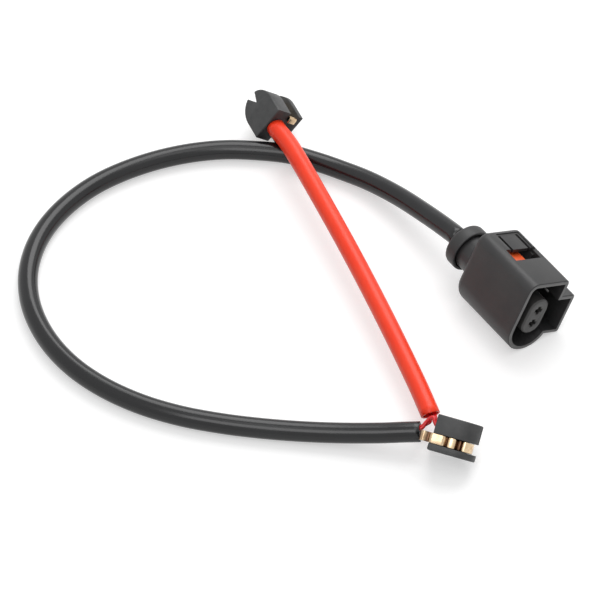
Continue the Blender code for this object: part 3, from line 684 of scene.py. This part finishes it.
sleeve = {
    "route": [
        (-107.9, -19.6, 9.75), (-97.7, -21.4, 9.6), (-77.6, -25.5, 9.2), (-58.0, -29.7, 8.7),
        (-38.7, -34.2, 8.2), (-19.9, -38.9, 7.7), (-1.5, -43.8, 7.2), (10.1, -47.3, 7.0),
    ],
    "seatHeight": 3.6,
    "length": 0.1298,
    "gap": 0.3,
    "straight": 1.5,
    "radius": 3.0 * mm,
    "wall": 0.55 * mm,
    "lip": 0.14 * mm,
    "slant": 0.44,
    "slantWay": Vector((0, 0, 1)),
    "paintedRimHighlight": True,
    "boreDepth": 14 * mm,
    "sides": 48,
    "step": 1.6 * mm,
}


def pathLength(points):
    return sum((q - p).length for p, q in zip(points, points[1:]))


def makeSheath():
    height = lie["plugHeight"]
    first = [Vector((x, 0, height)) for x in (sheath["start"], sheath["start"] - sheath["straight"])]
    swept = smoothPoints([first[1], *sheath["route"]], sheath["step"] / mm)
    path = [shift @ (p * mm) for p in [first[0], *swept]]
    mesh = hollowTube("sheathTube", path, sheath)
    piece = newPiece("sheathTube", mesh, "sheath", "sheath_black", "black_sheath")
    piece.data.materials.append(looks["rubber"])
    print("sheath made, mm:", round(pathLength(path) / mm, 1))


def makeSleeve():
    leaving = (-sleeve["gap"], -sleeve["gap"] - sleeve["straight"])
    near = [farPlace @ (Vector((x, 0, sleeve["seatHeight"])) * mm) for x in leaving]
    route = [near[1], *[shift @ (Vector(p) * mm) for p in sleeve["route"]]]
    path = [near[0], *smoothPoints(route, sleeve["step"])]
    mesh = hollowTube("sleeveTube", path, sleeve)
    piece = newPiece("sleeveTube", mesh, "sleeve", "sleeve_red", "red_sleeve")
    # The bore gets painted shade, and the cut rim a painted highlight
    piece.data.materials.append(looks["sleeveBoreShade"])
    piece.data.materials.append(looks["sleeveRimHighlight"])
    print("sleeve made, mm:", round(pathLength(path) / mm, 1))


makeSheath()
makeSleeve()


# thin red wires at the heads

# Millimetres in a head's own place: x from base to tip, y across, z from the block to the flange
wires = {
    "radius": 0.65 * mm,
    "step": 0.35,
    "hole": (0.3, -1.5, 3.6),
    "loopHalf": [
        (1.5, -1.55, 3.8), (3.5, -1.9, 5.1), (6.0, -2.1, 6.8), (8.4, -1.9, 7.5), (10.2, -1.2, 7.5),
    ],
    "tip": (11.15, 0.0, 7.5),
    "feed": [
        (-0.75, 1.35, 2.6), (-1.4, 0.9, 1.5), (-2.4, 0.3, 1.9), (-3.4, -0.1, 3.6), (-4.4, -0.25, 5.6),
    ],
    "link": [(-2.0, -6.67, 0.2), (-1.3, -4.5, 1.1), (-0.75, -1.9, 2.6)],
    "bypass": [
        (-4.6, -1.67, 5.15), (-3.6, -2.3, 4.1), (-2.6, -3.6, 2.9), (-2.7, -5.2, 2.0), (-3.3, -6.67, 1.6),
    ],
    "hidden": 7.0,
    "hiddenShares": (1.0, 0.4),
    "sides": 20,
}


def loopRoute():
    half = [Vector(p) for p in [wires["hole"], *wires["loopHalf"]]]
    return [*half, Vector(wires["tip"]), *[Vector((p.x, -p.y, p.z)) for p in reversed(half)]]


# Two points further back along a tube's own axis, hidden in it
def hiddenIn(tubeAxis, last):
    return [Vector(last) - tubeAxis * wires["hidden"] * share for share in wires["hiddenShares"]]


def makeWires():
    turnBack = nearPlace.to_3x3().inverted()
    sleeveAxis = turnBack @ (Vector(sleeve["route"][-1]) - Vector(sleeve["route"][-2])).normalized()
    sheathAxis = turnBack @ (Vector(sheath["route"][-1]) - Vector(sheath["route"][-2])).normalized()
    feed = wires["feed"]
    link = wires["link"]
    bypass = wires["bypass"]
    nearRoute = [*hiddenIn(sleeveAxis, link[0]), *link, *loopRoute(), *feed]
    nearRoute += reversed(hiddenIn(sheathAxis, feed[-1]))
    bypassRoute = [*hiddenIn(sheathAxis, bypass[0]), *bypass]
    bypassRoute += reversed(hiddenIn(sleeveAxis, bypass[-1]))
    for name, route, place, node in (
        ("nearWireLoop", nearRoute, nearPlace, "near_loop_wire"),
        ("bypassWire", bypassRoute, nearPlace, "return_wire"),
        ("farWireLoop", loopRoute(), farPlace, "far_loop_wire"),
    ):
        points = [p * mm for p in smoothPoints(route, wires["step"])]
        values = {"Radius": wires["radius"], "Sides": wires["sides"], "Material": looks["wire"]}
        mesh = followed(name, points, wireTree, wireKeys, values, place)
        newPiece(name, mesh, "wire", "wire_red", node)
    print("wires made")


makeWires()


# the clips

# Millimetres in a head's own place: x from base to tip, y across. A strip runs foot, waves, nose, plain side
# and hook. Its depth below the bright line darkens it with painted shade.
clip = {
    "feet": {
        "near": [(-3.7, 5.0), (-3.2, 5.7), (-2.5, 5.9), (-1.8, 5.4), (-1.0, 5.3), (-0.4, 5.8)],
        "far": [],
    },
    "wavesFrom": {"near": 0, "far": 1},
    "waves": [
        (0.4, 5.95), (2.0, 5.95), (3.4, 5.9), (4.0, 5.4), (4.4, 5.0), (4.9, 5.3), (5.3, 5.85), (6.2, 5.95),
        (7.0, 5.7), (7.4, 4.9), (7.9, 4.15), (8.6, 3.95), (9.2, 4.3), (9.6, 5.0), (10.3, 5.15),
    ],
    "nose": [
        (11.3, 4.4), (12.0, 3.5), (12.4, 2.3), (12.5, 1.0), (12.3, -0.6), (11.8, -2.2), (10.6, -3.5),
    ],
    "plain": [(9.0, -4.2), (7.0, -4.3), (4.4, -4.3), (2.0, -4.3)],
    "hook": [(0.7, -4.6), (-0.1, -5.2), (-0.7, -4.9), (-0.85, -4.0), (-0.85, -3.2)],
    "wayUp": {"near": 1, "far": -1},
    "low": 5.98,
    "high": 9.05,
    "bright": 6.05,
    "dark": 5.25,
    # how much the foot and the first flat are darkened everywhere, and where the painted shade stops
    "footDarkening": 0.42,
    "footDark": 5.5,
    "flatDarkening": 0.42,
    "footEnd": -0.3,
    "flatEnd": 3.4,
    "darkeningEnd": 9.45,
    "wavySide": 2,
    "thickness": 0.35 * mm,
    "edge": 0.1 * mm,
    "cornerSteps": 3,
    "step": 0.16,
}


# Painted shade on the bends that lie deep in the groove, from none at the bright line to full at the dark
# one.
# The foot and the first flat are darkened by a set share everywhere.
def paintShadeAndDarkening(mesh, place, wayUp):
    layer = mesh.attributes.new("tarnish", "FLOAT", "POINT")
    back = place.inverted()
    for i, vertex in enumerate(mesh.vertices):
        x, y, _ = back @ vertex.co / mm
        y *= wayUp
        if x >= clip["darkeningEnd"] or y <= clip["wavySide"]:
            continue
        foot = x < clip["footEnd"]
        depth = (clip["bright"] - y) / (clip["bright"] - clip["footDark" if foot else "dark"])
        least = clip["footDarkening"] if foot else clip["flatDarkening"] if x < clip["flatEnd"] else 0.0
        layer.data[i].value = min(1.0, max(least, depth))


def makeClips():
    middle = (clip["low"] + clip["high"]) / 2
    for where, place in (("near", nearPlace), ("far", farPlace)):
        wayUp = clip["wayUp"][where]
        route = clip["feet"][where] + clip["waves"][clip["wavesFrom"][where]:]
        route += clip["nose"] + clip["plain"] + clip["hook"]
        points = [p * mm for p in smoothPoints([(x, y * wayUp, middle) for x, y in route], clip["step"])]
        values = {
            "Thickness": clip["thickness"],
            "Height": (clip["high"] - clip["low"]) * mm,
            "Edge": clip["edge"],
            "Corner Steps": clip["cornerSteps"],
            "Material": looks["brass"],
        }
        name = f"{where}Clip"
        mesh = followed(name, points, stripTree, stripKeys, values, place)
        stripUv(mesh)
        paintShadeAndDarkening(mesh, place, wayUp)
        newPiece(name, mesh, "brass", "clip_brass", f"{where}_head_clip")
    print("clips made")


makeClips()


# moulded pieces

# Node, piece, finish, slot name and the width of its rounded edges
moulded = [
    ("connector_housing", "housing", "nylon", "black_nylon", 0.28 * mm),
    ("secondary_lock", "lockSlide", "orange", "orange_nylon", 0.20 * mm),
    ("terminal_carrier", "terminalIsland", "insert", "black_nylon", 0.20 * mm),
    ("interface_seal", "faceSeal", "rubber", "black_rubber", 0.10 * mm),
    ("wire_seal", "wireSeal", "rubber", "black_rubber", 0.08 * mm),
    ("near_head_body", "nearHead", "headNylon", "black_nylon", 0.12 * mm),
    ("far_head_body", "farHead", "headNylon", "black_nylon", 0.12 * mm),
    ("terminal_upper", "upperTerminal", "tin", "terminal_tin", 0.10 * mm),
    ("terminal_lower", "lowerTerminal", "tin", "terminal_tin", 0.10 * mm),
    ("lead_wire_upper", "upperLeadWire", "sheath", "sheath_black", 0.05 * mm),
    ("lead_wire_lower", "lowerLeadWire", "sheath", "sheath_black", 0.05 * mm),
]


# The hollow that the mating socket fills, in millimetres in the plug's own place, just inside its walls
hollow = {
    "front": -0.35,
    "rear": -16.3,
    "flat": -12.36,
    "crown": 4.3,
    "middle": -0.5,
    "half": 6.95,
    "channelSide": 6.2,
    "channelTop": 12.2,
}


def inHollow(point):
    x, y, z = plugPlace.inverted() @ point / mm
    if not hollow["rear"] < x < hollow["front"]:
        return False
    if abs(y) < hollow["channelSide"] and 0 < z < hollow["channelTop"]:
        return True
    reach = math.hypot(max(0.0, y - hollow["crown"]), z - hollow["middle"])
    return y > hollow["flat"] and reach < hollow["half"]


facingOut = 0.9  # how squarely a face of the front rim points out of the plug


# Paints shade on the faces inside the hollow, and a highlight on the front rim's faces that point out
def paintHousingShadeAndHighlight(mesh):
    mesh.materials.append(looks["nylonHollowShade"])
    mesh.materials.append(looks["nylonRimHighlight"])
    for face in mesh.polygons:
        x = (plugPlace.inverted() @ face.center).x / mm
        if x > hollow["front"] and face.normal.x > facingOut:
            face.material_index = 2
        elif inHollow(face.center):
            face.material_index = 1


# The flange of a head reaches a little past its base, outside the backing plate: millimetres in its own place
flange = {"above": 9.1, "near": 0.4, "reach": 0.6}


def stretchFlange(mesh, place):
    for vertex in mesh.vertices:
        x, _, z = place.inverted() @ vertex.co / mm
        if z > flange["above"] and x < flange["near"]:
            vertex.co -= place.to_3x3() @ Vector((flange["reach"] * mm, 0, 0))


def makeMoulded():
    for node, name, look, slot, edge in moulded:
        piece = refinedNode(node, name, look, slot, edge)
        if node == "connector_housing":
            paintHousingShadeAndHighlight(piece.data)
        elif node == "near_head_body":
            stretchFlange(piece.data, nearPlace)
        elif node == "far_head_body":
            stretchFlange(piece.data, farPlace)
    print("moulded pieces made")


makeMoulded()

# The rubber boot over the neck's end, turned about the plug's axis: x and radius in millimetres
boot = {
    "profile": [
        (-34.8, 6.4), (-33.85, 6.46), (-33.68, 6.62), (-33.66, 6.98), (-33.76, 7.24), (-34.02, 7.39),
        (-34.6, 7.42), (-36.8, 7.42), (-37.4, 7.38), (-37.85, 7.2), (-38.14, 6.92), (-38.3, 6.5),
        (-38.5, 6.05), (-38.95, 5.35), (-39.5, 4.65), (-39.95, 4.2), (-40.15, 4.0), (-40.35, 3.86),
        (-40.45, 3.68), (-40.45, 3.5), (-40.35, 3.38), (-40.1, 3.34), (-37.2, 3.34), (-37.2, 6.4),
    ],
    "merge": 0.000002,
    "sides": 96,
}


def makeBoot():
    bm = bmesh.new()
    verts = [bm.verts.new((x * mm, 0, r * mm)) for x, r in boot["profile"]]
    edges = [bm.edges.new((a, b)) for a, b in zip(verts, verts[1:] + verts[:1])]
    turn = {"cent": (0, 0, 0), "axis": (1, 0, 0), "angle": 2 * math.pi, "steps": boot["sides"]}
    bmesh.ops.spin(bm, geom=verts + edges, use_merge=True, **turn)
    bmesh.ops.remove_doubles(bm, verts=bm.verts, dist=boot["merge"])
    bmesh.ops.recalc_face_normals(bm, faces=bm.faces)
    bmesh.ops.transform(bm, verts=bm.verts, matrix=plugPlace)
    for face in bm.faces:
        face.smooth = True
    mesh = bpy.data.meshes.new("boot")
    bm.to_mesh(mesh)
    bm.free()
    newPiece("boot", mesh, "rubber", "black_rubber", "cable_boot")
    print("boot made")


makeBoot()
